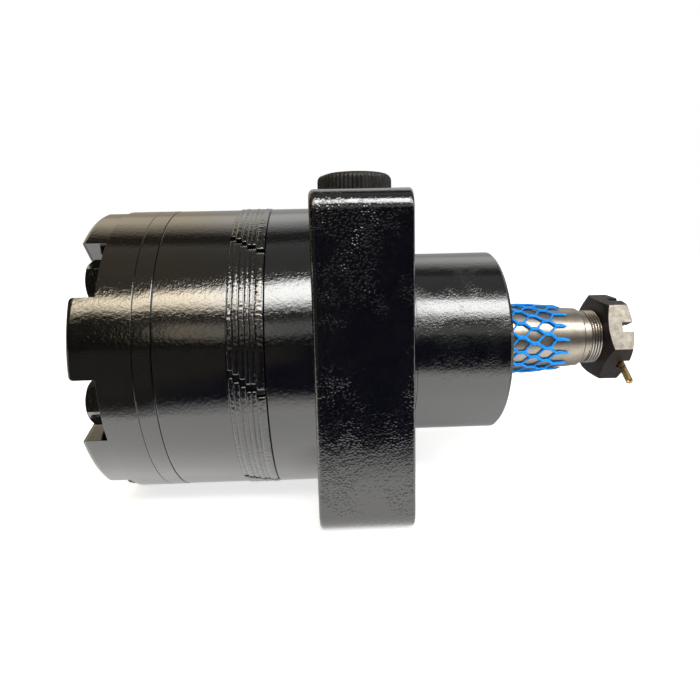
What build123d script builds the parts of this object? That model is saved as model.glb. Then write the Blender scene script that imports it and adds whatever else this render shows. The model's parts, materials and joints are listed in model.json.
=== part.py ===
from build123d import *
import math
import os

# Orbital (geroler) hydraulic motor with a four-bolt square flange and a tapered output shaft.
# Millimetres. +X runs along the motor axis towards the shaft end, +Z points to the port side.
# Origin: centre of the flange's mounting face, on the motor axis.

# --- Driving dimensions -------------------------------------------------------------------
body_radius = 62.65            # round body behind the flange
flange_side = 129.0
flange_thickness = 37.0
flange_corner = 8.0
flange_rear_round = 2.0
flange_front_round = 1.2
flange_bolt_circle = 147.6     # 5.81 in
flange_bolt_hole = 6.75        # radius, clears M12 and 1/2 in
pilot_radius = 41.275          # 3.25 in pilot
pilot_length = 44.2
pilot_relief_depth = 0.5
pilot_relief_width = 4.6
pilot_chamfer = 1.5
face_relief_depth = 0.6        # shallow groove in the flange face round the pilot
face_relief_width = 1.6
housing_edge = 0.6             # chamfer at the joint with the manifold

# planes across the axis, from the flange face backwards
housing_rear = -55.0
stator_front = -68.4
stator_rear = -95.5
cover_front = -102.5
pocket_floor = -116.0
cover_rear = -126.4
plate_count = 6
plate_thicknesses = (3.3, 1.85, 1.85, 2.2, 2.4, 1.8)
plate_notch_leads = (5.2, 7.3, 7.3, 9.1, 10.8, 12.3)   # degrees ahead of each bolt
plate_bore = 18.0
plate_notch_width = 2.6
plate_notch_length = 3.7       # half of it cuts into the rim
plate_rim_step = 0.1           # every other plate stands this much prouder
inner_window_circle = 26.0
inner_window_drift = 0.7       # the windows move and change size from plate to plate
inner_window_length = 7.0
inner_window_width = 3.2
outer_window_circle = 31.5
outer_window_drift = 0.5
outer_window_length = 6.0
outer_window_width = 3.0

# seven through bolts, M10
bolt_count = 7
bolt_step = 360 / bolt_count
bolt_circle_radius = 52.3
bolt_radius = 5.0
bolt_hole_radius = 5.25
bolt_tip = -36.0
bolt_head_flats = 16.0
bolt_head_height = 6.0
pocket_inner_radius = 11.4
pocket_rim_half_width = 13.3
pocket_reach = 14.0            # past the bolt circle, out through the rim
land_setback = 0.2             # the lands between pockets lie this far inside the cover's disc
land_round = 2.6               # all round the rear edge of the lands
cover_recess_radius = 33.0
cover_recess_depth = 3.0
cover_dish_radius = 20.0
cover_dish_depth = 1.2
balance_hole_circle = 30.0
balance_hole_radius = 1.5
stator_edge = 0.3              # chamfers along the joints of the stack
balance_edge = 0.2
cover_edge = 0.15

# square-section seals between the body sections
seal_inner = 58.3
seal_outer = 60.1
seal_depth = 1.6
seal_play = 0.1

# ports on the top of the flange
port_spread = 22.0             # each side of the middle plane
port_station = -19.0
port_radius = 10.2
port_thread_depth = 16.0
port_drill_radius = 7.0
port_drill_bottom = 37.0
port_spot_radius = 16.2
port_spot_depth = 0.5
port_seat_radius = 12.2        # seat for a fitting's O-ring
port_seat_depth = 3.2
gallery_radius = 4.5
gallery_height = 41.0
gallery_slot_width = 7.0
gallery_slot_depth = 6.0
plug_head_radius = 15.4
plug_head_bottom = 64.4
plug_top = 73.8
plug_stem_radius = 11.9
plug_stem_length = 3.2
plug_seal_thickness = 0.3
plug_seal_width = 1.7
plug_top_round = 1.6
plug_foot_chamfer = 0.8
plug_rim_width = 3.4
plug_dish = 1.0

# rotor set
roller_count = 7
lobe_count = 6
roller_radius = 6.5
roller_circle = 34.0
rotor_offset = 3.0             # distance between rotor and stator centres
rotor_play = 0.05
pocket_play = 0.05
stator_bore = 33.8
end_play = 0.1

# drive link and its splines
spline_teeth = 12
spline_tip = 12.6              # inner radius of the female teeth
spline_root = 15.2             # outer radius of the female grooves
spline_groove = 4.1
link_tip = 14.0
link_root = 11.2
link_tooth = 2.9
link_waist = 10.4
link_neck = 5.0                # cone between a spline and the waist
link_crown = 0.9               # drop of a spline's ends below its middle
link_front_pivot = -9.0
link_rear_pivot = -82.0
link_spline_length = 15.0
link_collar_radius = 15.0
link_collar_width = 8.0

# commutator, between housing and manifold
cavity_radius = 40.25
cavity_floor = -45.0
commutator_station = -50.0
commutator_radius = 30.0
commutator_bore = 15.3
commutator_front = -46.0
ring_bore = 33.0
face_seal_inner = 24.0
face_seal_outer = 26.0
face_seal_depth = 1.2
face_seal_length = 1.8

# output shaft
shaft_radius = 15.875          # 1-1/4 in
taper_start = 53.0
taper_end = 86.2
taper_slope = 1 / 16           # radius change along the axis of a 1:8 taper
thread_root = 11.9             # of a 1 in thread with 20 threads per inch
thread_start = 89.3
shaft_tip = 105.4
taper_step = 1.0               # length of the cone from the taper down to the thread's collar
thread_collar = 12.6
centre_drill_radius = 2.5
centre_drill_depth = 6.0
journal_radius = 17.45
journal_end = 38.0
bell_radius = 26.5
bell_front = -2.0
bell_rear = -41.0
bell_relief = 15.7
bell_relief_start = -17.5

# bearings
needle_radius = 1.5
needle_play = 0.02
front_needles = 20
rear_needles = 28
front_bearing = (6.0, 25.0)
rear_bearing = (-39.5, -20.5)
front_cup_radius = 22.2
rear_cup_radius = 31.3
thrust_needles = 24
thrust_needle_radius = 1.0
thrust_bore = 27.5
thrust_shoulder = 5.0
thrust_circle = 22.3
thrust_needle_length = 5.0
thrust_cage_half = 0.7
cup_lip = 1.0
cup_lip_height = 1.1
cage_half_thickness = 0.65
cage_end_bar = 1.2
window_play = 0.2
cage_inset = 1.3               # from a cup's end to its cage
needle_inset = 2.6             # from a cup's end to its needles

# shaft seals, front to back
seal_bore = 24.0
seal_floor = 27.0
snap_groove_radius = 25.4
snap_groove = (36.4, 38.4)
seal_length = 7.4
seal_channel = 5.4             # depth of the hollow behind the seal's lip
seal_wall = 1.8
washer_thickness = 1.6
snap_ring_thickness = 1.8
snap_ring_bore = 21.9
snap_ring_shift = 0.7          # the ring is deepest opposite its gap
snap_lug_radius = 2.2
snap_lug_spread = 3.6
snap_lug_height = -21.2
snap_gap_width = 3.4
snap_eye_radius = 0.9
dust_lip = 1.6

# nut, split pin, key and net sleeve
nut_flats = 36.0
nut_back = 95.2
nut_front = 106.7
nut_slot_start = 101.5
nut_slot_width = 4.4
nut_turn = 9.0                 # turns a flat to face 21 degrees above the horizontal
pin_station = 103.5
pin_radius = 1.5
pin_hole_radius = 1.75
pin_reach = 28.8
pin_eye_radius = 2.7
pin_wire = 1.2
pin_angle = -141.0             # from +Y towards +Z
pin_gap = 0.3                  # between the pin's two legs
pin_split_start = 12.0         # how far behind the axis the legs part
key_width = 7.94
key_disc_radius = 12.7
key_station = 68.0
key_height = 18.9              # top of the key above the shaft's axis
key_flat_drop = 1.2            # top of the key below its disc's centre
net_start = 46.3
net_end = 77.8
net_gap = 0.15
net_thickness = 1.1

os.makedirs("parts", exist_ok=True)


# --- Helpers ------------------------------------------------------------------------------
def across(station, height=0):
    """Plane square to the motor axis, with local x along +Y and local y along +Z."""
    return Plane((station, 0, height), x_dir=(0, 1, 0), z_dir=(1, 0, 0))


def round_block(start, end, radius, mode=Mode.ADD):
    """Cylinder about the motor axis between two stations."""
    with BuildSketch(across(start)) as section:
        Circle(radius)
    extrude(section.sketch, amount=end - start, mode=mode)


def ring_block(start, end, outer, inner, mode=Mode.ADD):
    """Plain ring about the motor axis between two stations."""
    with BuildSketch(across(start)) as section:
        Circle(outer)
        Circle(inner, mode=Mode.SUBTRACT)
    extrude(section.sketch, amount=end - start, mode=mode)


def bolt_holes(start, end, radius):
    """Seven holes on the through-bolt circle."""
    with BuildSketch(across(start)) as section:
        with PolarLocations(bolt_circle_radius, bolt_count, start_angle=90):
            Circle(radius)
    extrude(section.sketch, amount=end - start, mode=Mode.SUBTRACT)


def seal_groove(start, end):
    """Groove for a square-section body seal."""
    ring_block(start, end, seal_outer + seal_play, seal_inner - seal_play, Mode.SUBTRACT)


def axial_needles(start, end, circle, count, radius):
    """Needle rollers lying along the axis on a circle."""
    with BuildSketch(across(start)) as section:
        with PolarLocations(circle, count):
            Circle(radius)
    extrude(section.sketch, amount=end - start)


def spline_section(plane, core, tip, tooth):
    """Outline of a toothed shaft: a round core with straight-sided teeth."""
    with BuildSketch(plane) as section:
        Circle(core)
        with PolarLocations((core + tip) / 2, spline_teeth):
            Rectangle(tip - core + 2, tooth)
        Circle(tip, mode=Mode.INTERSECT)
    return section.sketch


def shaft_taper(station):
    """Radius of the taper at a station."""
    return shaft_radius - taper_slope * (station - taper_start)


# --- Housing ------------------------------------------------------------------------------
with BuildPart() as housing:
    with BuildSketch(across(-flange_thickness)):
        RectangleRounded(flange_side, flange_side, flange_corner)
    extrude(amount=flange_thickness)
    fillet(housing.edges().filter_by(Plane.YZ).group_by(Axis.X)[0], flange_rear_round)
    fillet(housing.edges().filter_by(Plane.YZ).group_by(Axis.X)[-1], flange_front_round)
    round_block(1 - flange_thickness, housing_rear, body_radius)
    chamfer(housing.faces().sort_by(Axis.X)[0].outer_wire().edges(), housing_edge)
    round_block(0, pilot_length, pilot_radius)
    chamfer(housing.faces().sort_by(Axis.X)[-1].outer_wire().edges(), pilot_chamfer)
    relief_floor = pilot_radius - pilot_relief_depth
    ring_block(0, pilot_relief_width, pilot_radius + 1, relief_floor, Mode.SUBTRACT)
    ring_block(-face_relief_depth, 0, pilot_radius + face_relief_width, relief_floor, Mode.SUBTRACT)
    round_block(housing_rear, cavity_floor, cavity_radius, Mode.SUBTRACT)
    round_block(cavity_floor, rear_bearing[1] + 1.0, rear_cup_radius, Mode.SUBTRACT)
    round_block(rear_bearing[1] + 1.0, thrust_shoulder, thrust_bore, Mode.SUBTRACT)
    round_block(thrust_shoulder, front_bearing[1] + 0.5, front_cup_radius, Mode.SUBTRACT)
    round_block(front_bearing[1] + 0.5, seal_floor, journal_radius + 0.6, Mode.SUBTRACT)
    round_block(seal_floor, pilot_length, seal_bore, Mode.SUBTRACT)
    round_block(snap_groove[0], snap_groove[1], snap_groove_radius, Mode.SUBTRACT)
    bolt_holes(housing_rear, bolt_tip + 3, bolt_radius)
    seal_groove(housing_rear, housing_rear + seal_depth)
    with BuildSketch(across(-flange_thickness)):
        with PolarLocations(flange_bolt_circle / 2, 4, start_angle=45):
            Circle(flange_bolt_hole)
    extrude(amount=flange_thickness, mode=Mode.SUBTRACT)
    with BuildSketch(Plane.XY.offset(flange_side / 2)):
        with Locations((port_station, -port_spread), (port_station, port_spread)):
            Circle(port_spot_radius)
    extrude(amount=-port_spot_depth, mode=Mode.SUBTRACT)
    with BuildSketch(Plane.XY.offset(flange_side / 2 - port_spot_depth)):
        with Locations((port_station, -port_spread), (port_station, port_spread)):
            Circle(port_seat_radius)
    extrude(amount=-port_seat_depth, mode=Mode.SUBTRACT)
    with BuildSketch(Plane.XY.offset(flange_side / 2)):
        with Locations((port_station, -port_spread), (port_station, port_spread)):
            Circle(port_radius)
    extrude(amount=-port_thread_depth, mode=Mode.SUBTRACT)
    with BuildSketch(Plane.XY.offset(port_drill_bottom)):
        with Locations((port_station, -port_spread), (port_station, port_spread)):
            Circle(port_drill_radius)
    extrude(amount=flange_side / 2 - port_thread_depth - port_drill_bottom + 0.01, mode=Mode.SUBTRACT)
    with BuildSketch(across(housing_rear)):
        with Locations((-port_spread, gallery_height), (port_spread, gallery_height)):
            Circle(gallery_radius)
    extrude(amount=port_station - housing_rear, mode=Mode.SUBTRACT)
    gallery_turn = math.degrees(math.atan2(gallery_height, port_spread))
    gallery_reach = math.hypot(gallery_height, port_spread)
    with BuildSketch(across(housing_rear)):
        for turn in (gallery_turn, 180 - gallery_turn):
            with PolarLocations((gallery_reach + cavity_radius - 2) / 2, 1, start_angle=turn):
                Rectangle(gallery_reach - cavity_radius + 4, gallery_slot_width)
    extrude(amount=gallery_slot_depth, mode=Mode.SUBTRACT)
housing.part.label = "housing"
export_step(housing.part, "parts/housing.step")

# --- Bearings and seals in the housing ----------------------------------------------------
needle_circle_front = journal_radius + needle_play + needle_radius
needle_circle_rear = bell_radius + needle_play + needle_radius
cup_inner_front = needle_circle_front + needle_radius + needle_play
cup_inner_rear = needle_circle_rear + needle_radius + needle_play


def bearing_cup(start, end, outer, inner):
    """Drawn cup with lips that keep the needles in."""
    ring_block(start, end, outer, inner)
    for edge in (start, end - cup_lip):
        ring_block(edge, edge + cup_lip, outer, inner - cup_lip_height)


def bearing_cage(start, end, circle, count):
    """Thin cage with a window for every needle."""
    ring_block(start, end, circle + cage_half_thickness, circle - cage_half_thickness)
    window = end - start - 2 * cage_end_bar
    with BuildSketch(across(start + cage_end_bar)) as section:
        with PolarLocations(circle, count):
            Rectangle(4 * cage_half_thickness, 2 * needle_radius + window_play)
    extrude(section.sketch, amount=window, mode=Mode.SUBTRACT)


with BuildPart() as front_bearing_cup:
    bearing_cup(front_bearing[0], front_bearing[1], front_cup_radius, cup_inner_front)
front_bearing_cup.part.label = "front_bearing_cup"
export_step(front_bearing_cup.part, "parts/front_bearing_cup.step")

with BuildPart() as front_bearing_cage:
    bearing_cage(front_bearing[0] + cage_inset, front_bearing[1] - cage_inset, needle_circle_front, front_needles)
front_bearing_cage.part.label = "front_bearing_cage"
export_step(front_bearing_cage.part, "parts/front_bearing_cage.step")

with BuildPart() as front_bearing_needles:
    needle_ends = (front_bearing[0] + needle_inset, front_bearing[1] - needle_inset)
    axial_needles(needle_ends[0], needle_ends[1], needle_circle_front, front_needles, needle_radius)
front_bearing_needles.part.label = "front_bearing_needles"
export_step(front_bearing_needles.part, "parts/front_bearing_needles.step")

with BuildPart() as rear_bearing_cup:
    bearing_cup(rear_bearing[0], rear_bearing[1], rear_cup_radius, cup_inner_rear)
rear_bearing_cup.part.label = "rear_bearing_cup"
export_step(rear_bearing_cup.part, "parts/rear_bearing_cup.step")

with BuildPart() as rear_bearing_cage:
    bearing_cage(rear_bearing[0] + cage_inset, rear_bearing[1] - cage_inset, needle_circle_rear, rear_needles)
rear_bearing_cage.part.label = "rear_bearing_cage"
export_step(rear_bearing_cage.part, "parts/rear_bearing_cage.step")

with BuildPart() as rear_bearing_needles:
    needle_ends = (rear_bearing[0] + needle_inset, rear_bearing[1] - needle_inset)
    axial_needles(needle_ends[0], needle_ends[1], needle_circle_rear, rear_needles, needle_radius)
rear_bearing_needles.part.label = "rear_bearing_needles"
export_step(rear_bearing_needles.part, "parts/rear_bearing_needles.step")

# thrust bearing between the shaft's bell and the housing shoulder
thrust_race_thickness = 2.0
thrust_mid = bell_front + thrust_race_thickness + thrust_needle_radius + needle_play
thrust_race_front = thrust_mid + thrust_needle_radius + needle_play

with BuildPart() as thrust_race_housing:
    ring_block(thrust_race_front, thrust_shoulder, thrust_bore, journal_radius + 0.8)
thrust_race_housing.part.label = "thrust_race_housing"
export_step(thrust_race_housing.part, "parts/thrust_race_housing.step")

with BuildPart() as thrust_race_shaft:
    ring_block(bell_front, bell_front + thrust_race_thickness, bell_radius, journal_radius)
thrust_race_shaft.part.label = "thrust_race_shaft"
export_step(thrust_race_shaft.part, "parts/thrust_race_shaft.step")

with BuildPart() as thrust_bearing_cage:
    cage_rear = thrust_mid - thrust_cage_half
    ring_block(cage_rear, thrust_mid + thrust_cage_half, bell_radius - 0.2, journal_radius + 0.9)
    with BuildSketch(across(cage_rear)):
        with PolarLocations(thrust_circle, thrust_needles):
            Rectangle(thrust_needle_length + window_play, 2 * thrust_needle_radius + window_play)
    extrude(amount=2 * thrust_cage_half, mode=Mode.SUBTRACT)
thrust_bearing_cage.part.label = "thrust_bearing_cage"
export_step(thrust_bearing_cage.part, "parts/thrust_bearing_cage.step")

with BuildPart() as thrust_bearing_needles:
    for index in range(thrust_needles):
        turn = math.radians(index * 360 / thrust_needles)
        outward = Vector(0, math.cos(turn), math.sin(turn))
        inner_end = Vector(thrust_mid, 0, 0) + outward * (thrust_circle - thrust_needle_length / 2)
        with BuildSketch(Plane(inner_end, z_dir=outward)):
            Circle(thrust_needle_radius)
        extrude(amount=thrust_needle_length)
thrust_bearing_needles.part.label = "thrust_bearing_needles"
export_step(thrust_bearing_needles.part, "parts/thrust_bearing_needles.step")

with BuildPart() as shaft_seal:
    ring_block(seal_floor, seal_floor + seal_length, seal_bore, journal_radius + 0.05)
    channel_end = seal_floor + seal_channel
    ring_block(seal_floor, channel_end, seal_bore - seal_wall, journal_radius + 1.6, Mode.SUBTRACT)
    fillet(shaft_seal.edges().filter_by(GeomType.CIRCLE).sort_by(Axis.X)[-1], 0.5)
shaft_seal.part.label = "shaft_seal"
export_step(shaft_seal.part, "parts/shaft_seal.step")

with BuildPart() as seal_backup_washer:
    washer_rear = seal_floor + seal_length + 0.1
    ring_block(washer_rear, washer_rear + washer_thickness, seal_bore - 0.1, journal_radius + 0.7)
seal_backup_washer.part.label = "seal_backup_washer"
export_step(seal_backup_washer.part, "parts/seal_backup_washer.step")

with BuildPart() as retaining_ring:
    with BuildSketch(across(snap_groove[0] + 0.1)):
        Circle(snap_groove_radius - 0.1)
        with Locations((0, -snap_ring_shift)):
            Circle(snap_ring_bore, mode=Mode.SUBTRACT)
        with Locations((-snap_lug_spread, snap_lug_height), (snap_lug_spread, snap_lug_height)):
            Circle(snap_lug_radius)
        with Locations((0, snap_lug_height - 2)):
            Rectangle(snap_gap_width, 4 * snap_lug_radius, mode=Mode.SUBTRACT)
        with Locations((-snap_lug_spread - 0.3, snap_lug_height), (snap_lug_spread + 0.3, snap_lug_height)):
            Circle(snap_eye_radius, mode=Mode.SUBTRACT)
    extrude(amount=snap_ring_thickness)
retaining_ring.part.label = "retaining_ring"
export_step(retaining_ring.part, "parts/retaining_ring.step")

with BuildPart() as dust_seal:
    ring_block(journal_end + 0.7, pilot_length - 0.3, seal_bore, shaft_radius + 0.05)
    chamfer(dust_seal.edges().filter_by(GeomType.CIRCLE).group_by(Axis.X)[-1].sort_by(SortBy.RADIUS)[0], dust_lip)
dust_seal.part.label = "dust_seal"
export_step(dust_seal.part, "parts/dust_seal.step")

# --- Output shaft and what is fixed on it -------------------------------------------------
pin_turn = math.radians(pin_angle)
pin_axis = Vector(0, math.cos(pin_turn), math.sin(pin_turn))

with BuildPart() as output_shaft:
    with BuildSketch(Plane.XZ):
        with BuildLine():
            Polyline(
                (bell_rear, 0),
                (bell_rear, bell_radius - 0.8),
                (bell_rear + 0.8, bell_radius),
                (bell_front, bell_radius),
                (bell_front, journal_radius),
                (journal_end - 0.8, journal_radius),
                (journal_end, shaft_radius + 0.3),
                (journal_end, shaft_radius),
                (taper_start, shaft_radius),
                (taper_end, shaft_taper(taper_end)),
                (taper_end + taper_step, thread_collar),
                (thread_start, thread_collar),
                (thread_start + 0.4, thread_root),
                (shaft_tip - 0.8, thread_root),
                (shaft_tip, thread_root - 0.8),
                (shaft_tip, 0),
                close=True,
            )
        make_face()
    revolve(axis=Axis.X)
    female = spline_section(across(bell_relief_start), spline_tip, spline_root, spline_groove)
    extrude(female, amount=-bell_relief_start, mode=Mode.SUBTRACT)
    round_block(bell_rear, bell_relief_start + 0.01, bell_relief, Mode.SUBTRACT)
    with BuildSketch(Plane(Vector(pin_station, 0, 0), z_dir=pin_axis)):
        Circle(pin_hole_radius)
    extrude(amount=shaft_radius, both=True, mode=Mode.SUBTRACT)
    with BuildSketch(Plane.XY.offset(-key_width / 2)):
        with Locations((key_station, key_height + key_flat_drop)):
            Circle(key_disc_radius + 0.05)
    extrude(amount=key_width, mode=Mode.SUBTRACT)
    with BuildSketch(across(shaft_tip)):
        Circle(centre_drill_radius)
    extrude(amount=-centre_drill_depth, mode=Mode.SUBTRACT)
output_shaft.part.label = "output_shaft"
export_step(output_shaft.part, "parts/output_shaft.step")

with BuildPart() as shaft_nut:
    with BuildSketch(across(nut_back)):
        RegularPolygon(nut_flats / 2 / math.cos(math.pi / 6), 6, rotation=nut_turn)
        Circle(thread_root + 0.1, mode=Mode.SUBTRACT)
    extrude(amount=nut_front - nut_back)
    nut_corner = nut_flats / 2 / math.cos(math.pi / 6)
    nut_bevel = (nut_corner - nut_flats / 2) * math.tan(math.pi / 6)
    with BuildSketch(Plane.XZ):
        with BuildLine():
            Polyline(
                (nut_back, 0),
                (nut_back, nut_flats / 2 - 0.3),
                (nut_back + nut_bevel, nut_corner),
                (nut_front - nut_bevel, nut_corner),
                (nut_front, nut_flats / 2 - 0.3),
                (nut_front, 0),
                close=True,
            )
        make_face()
    revolve(axis=Axis.X, mode=Mode.INTERSECT)
    with BuildSketch(across(nut_front)):
        with PolarLocations(nut_flats / 2, 6, start_angle=nut_turn + 30):
            Rectangle(nut_flats / 2, nut_slot_width)
    extrude(amount=nut_slot_start - nut_front, mode=Mode.SUBTRACT)
shaft_nut.part.label = "shaft_nut"
export_step(shaft_nut.part, "parts/shaft_nut.step")

pin_centre = Vector(pin_station, 0, 0)
pin_across = pin_axis.cross(Vector(1, 0, 0))
eye_distance = nut_flats / 2 + pin_eye_radius + pin_wire + 0.2
eye_centre = pin_centre - pin_axis * eye_distance

with BuildPart() as split_pin:
    with BuildSketch(Plane(eye_centre + pin_axis * pin_eye_radius, z_dir=pin_axis)):
        Circle(pin_radius)
    extrude(amount=pin_reach + eye_distance - pin_eye_radius)
    chamfer(split_pin.edges().filter_by(GeomType.CIRCLE).sort_by(Axis(pin_centre, pin_axis))[-1], 0.6)
    with BuildSketch(Plane(eye_centre - pin_axis * pin_eye_radius, x_dir=pin_axis, z_dir=pin_across)):
        Circle(pin_wire)
    revolve(axis=Axis(eye_centre, (1, 0, 0)))
    with BuildSketch(Plane(pin_centre, x_dir=pin_axis, z_dir=(1, 0, 0))):
        with Locations((pin_reach / 2, 0)):
            Rectangle(pin_reach + 2 * pin_split_start, pin_gap)
    extrude(amount=4, both=True, mode=Mode.SUBTRACT)
split_pin.part.label = "split_pin"
export_step(split_pin.part, "parts/split_pin.step")

with BuildPart() as shaft_key:
    with BuildSketch(Plane.XY.offset(-key_width / 2)):
        with Locations((key_station, key_height + key_flat_drop)):
            Circle(key_disc_radius)
        with Locations((key_station, key_height + key_disc_radius)):
            Rectangle(4 * key_disc_radius, 2 * key_disc_radius, mode=Mode.SUBTRACT)
    extrude(amount=key_width)
shaft_key.part.label = "shaft_key"
export_step(shaft_key.part, "parts/shaft_key.step")

key_front = key_station - key_disc_radius


def sleeve_turning(start, end, skin):
    """Half section, from the axis out, of the tapered shaft grown by a skin."""
    with BuildSketch(Plane.XZ) as section:
        with BuildLine():
            Polyline(
                (start, 0),
                (start, shaft_radius + skin),
                (taper_start, shaft_radius + skin),
                (end, shaft_taper(end) + skin),
                (end, 0),
                close=True,
            )
        make_face()
    return section.sketch


with BuildPart() as net_sleeve:
    revolve(sleeve_turning(net_start, net_end, net_gap + net_thickness), axis=Axis.X)
    hump_start = key_front - net_thickness
    hump_top = key_height + net_thickness
    hump_base = shaft_radius / 2
    with BuildSketch(Plane.XY.offset(-key_width / 2 - net_thickness)):
        with Locations(((hump_start + net_end) / 2, (hump_top + hump_base) / 2)):
            Rectangle(net_end - hump_start, hump_top - hump_base)
    extrude(amount=key_width + 2 * net_thickness)
    with BuildSketch(Plane.XY.offset(-key_width / 2 - 0.05)):
        with Locations((key_station, key_height / 2)):
            Rectangle(2 * key_disc_radius + 0.1, key_height + 0.1)
    extrude(amount=key_width + 0.1, mode=Mode.SUBTRACT)
    revolve(sleeve_turning(net_start - 1, net_end + 1, net_gap), axis=Axis.X, mode=Mode.SUBTRACT)
net_sleeve.part.label = "net_sleeve"
export_step(net_sleeve.part, "parts/net_sleeve.step")

# --- Drive link ---------------------------------------------------------------------------
front_pivot = Vector(link_front_pivot, 0, 0)
rear_pivot = Vector(link_rear_pivot, 0, rotor_offset)
link_length = (rear_pivot - front_pivot).length
link_direction = (rear_pivot - front_pivot).normalized()
link_axis = Axis(front_pivot, link_direction)
half_spline = link_spline_length / 2
collar_along = link_length * (link_front_pivot - commutator_station) / (link_front_pivot - link_rear_pivot)
link_plane = Plane(front_pivot, x_dir=link_direction, z_dir=(0, -1, 0))

with BuildPart() as drive_link:
    male = spline_section(
        Plane(front_pivot - link_direction * half_spline, x_dir=(0, 1, 0), z_dir=link_direction),
        link_root,
        link_tip,
        link_tooth,
    )
    extrude(male, amount=link_length + link_spline_length)
    with BuildSketch(link_plane):
        with BuildLine():
            ends = link_tip - link_crown
            Line((-half_spline, 0), (-half_spline, ends))
            ThreePointArc((-half_spline, ends), (0, link_tip), (half_spline, ends))
            Polyline(
                (half_spline, ends),
                (half_spline + link_neck, link_waist),
                (link_length - half_spline - link_neck, link_waist),
                (link_length - half_spline, ends),
            )
            ThreePointArc(
                (link_length - half_spline, ends), (link_length, link_tip), (link_length + half_spline, ends)
            )
            Line((link_length + half_spline, ends), (link_length + half_spline, 0))
            Line((link_length + half_spline, 0), (-half_spline, 0))
        make_face()
    revolve(axis=link_axis, mode=Mode.INTERSECT)
    with BuildSketch(link_plane):
        with Locations((collar_along, 0)):
            Circle(link_collar_radius)
            Rectangle(link_collar_width, 2 * link_collar_radius, mode=Mode.INTERSECT)
        with Locations((collar_along, -link_collar_radius)):
            Rectangle(2 * link_collar_radius, 2 * link_collar_radius, mode=Mode.SUBTRACT)
    revolve(axis=link_axis)
drive_link.part.label = "drive_link"
export_step(drive_link.part, "parts/drive_link.step")

# --- Commutator set -----------------------------------------------------------------------
pivot_span = link_front_pivot - link_rear_pivot
commutator_offset = rotor_offset * (link_front_pivot - commutator_station) / pivot_span

with BuildPart() as commutator:
    with BuildSketch(across(housing_rear + end_play, commutator_offset)):
        Circle(commutator_radius)
        Circle(commutator_bore, mode=Mode.SUBTRACT)
    extrude(amount=commutator_front - housing_rear - end_play)
    with BuildSketch(across(commutator_front, commutator_offset)):
        Circle(face_seal_outer + seal_play)
        Circle(face_seal_inner - seal_play, mode=Mode.SUBTRACT)
    extrude(amount=-face_seal_depth, mode=Mode.SUBTRACT)
commutator.part.label = "commutator"
export_step(commutator.part, "parts/commutator.step")

with BuildPart() as commutator_seal:
    with BuildSketch(across(commutator_front - face_seal_depth + 0.05, commutator_offset)):
        Circle(face_seal_outer)
        Circle(face_seal_inner, mode=Mode.SUBTRACT)
    extrude(amount=face_seal_length)
commutator_seal.part.label = "commutator_seal"
export_step(commutator_seal.part, "parts/commutator_seal.step")

with BuildPart() as commutator_ring:
    ring_block(housing_rear, cavity_floor - 0.1, cavity_radius - 0.05, ring_bore)
    with BuildSketch(across(housing_rear)):
        for turn in (gallery_turn, 180 - gallery_turn):
            with PolarLocations((ring_bore + cavity_radius) / 2, 1, start_angle=turn):
                Rectangle(cavity_radius - ring_bore + 2, gallery_slot_width)
    extrude(amount=gallery_slot_depth, mode=Mode.SUBTRACT)
commutator_ring.part.label = "commutator_ring"
export_step(commutator_ring.part, "parts/commutator_ring.step")

# --- Manifold: a stack of thin plates with windows ----------------------------------------
plate_front = housing_rear
for number in range(plate_count):
    plate_rear = plate_front - plate_thicknesses[number]
    with BuildPart() as manifold_plate:
        with BuildSketch(across(plate_rear)):
            Circle(body_radius + plate_rim_step * (1 - number % 2))
            Circle(plate_bore, mode=Mode.SUBTRACT)
            with PolarLocations(bolt_circle_radius, bolt_count, start_angle=90):
                Circle(bolt_hole_radius, mode=Mode.SUBTRACT)
            window_circle = inner_window_circle + inner_window_drift * number
            window_length = inner_window_length - 0.4 * number
            with PolarLocations(window_circle, bolt_count, start_angle=90):
                SlotOverall(window_length, inner_window_width + 0.3 * number, mode=Mode.SUBTRACT)
            window_circle = outer_window_circle - outer_window_drift * number
            window_length = outer_window_length - 0.5 * number
            with PolarLocations(window_circle, bolt_count, start_angle=90 + bolt_step / 2):
                SlotOverall(window_length, outer_window_width, mode=Mode.SUBTRACT)
            with PolarLocations(body_radius, bolt_count, start_angle=90 - plate_notch_leads[number]):
                Rectangle(plate_notch_width, plate_notch_length, mode=Mode.SUBTRACT)
        extrude(amount=plate_front - plate_rear)
    plate_name = f"manifold_plate_{number + 1}"
    manifold_plate.part.label = plate_name
    export_step(manifold_plate.part, f"parts/{plate_name}.step")
    plate_front = plate_rear

# --- Rotor set ----------------------------------------------------------------------------
with BuildPart() as stator_ring:
    with BuildSketch(across(stator_rear)):
        Circle(body_radius - 0.15)
        Circle(stator_bore, mode=Mode.SUBTRACT)
        with PolarLocations(roller_circle, roller_count, start_angle=90 + bolt_step / 2):
            Circle(roller_radius + pocket_play, mode=Mode.SUBTRACT)
        with PolarLocations(bolt_circle_radius, bolt_count, start_angle=90):
            Circle(bolt_hole_radius, mode=Mode.SUBTRACT)
    extrude(amount=stator_front - stator_rear)
    chamfer(stator_ring.edges().filter_by(GeomType.CIRCLE).group_by(SortBy.RADIUS)[-1], stator_edge)
    seal_groove(stator_front, stator_front - seal_depth)
    seal_groove(stator_rear, stator_rear + seal_depth)
stator_ring.part.label = "stator_ring"
export_step(stator_ring.part, "parts/stator_ring.step")

for number in range(roller_count):
    roller_turn = math.radians(90 + bolt_step * (number + 0.5))
    with BuildPart() as roller:
        with BuildSketch(across(stator_rear + end_play)):
            with Locations((roller_circle * math.cos(roller_turn), roller_circle * math.sin(roller_turn))):
                Circle(roller_radius)
        extrude(amount=stator_front - stator_rear - 2 * end_play)
    roller_name = f"stator_roller_{number + 1}"
    roller.part.label = roller_name
    export_step(roller.part, f"parts/{roller_name}.step")


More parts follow.
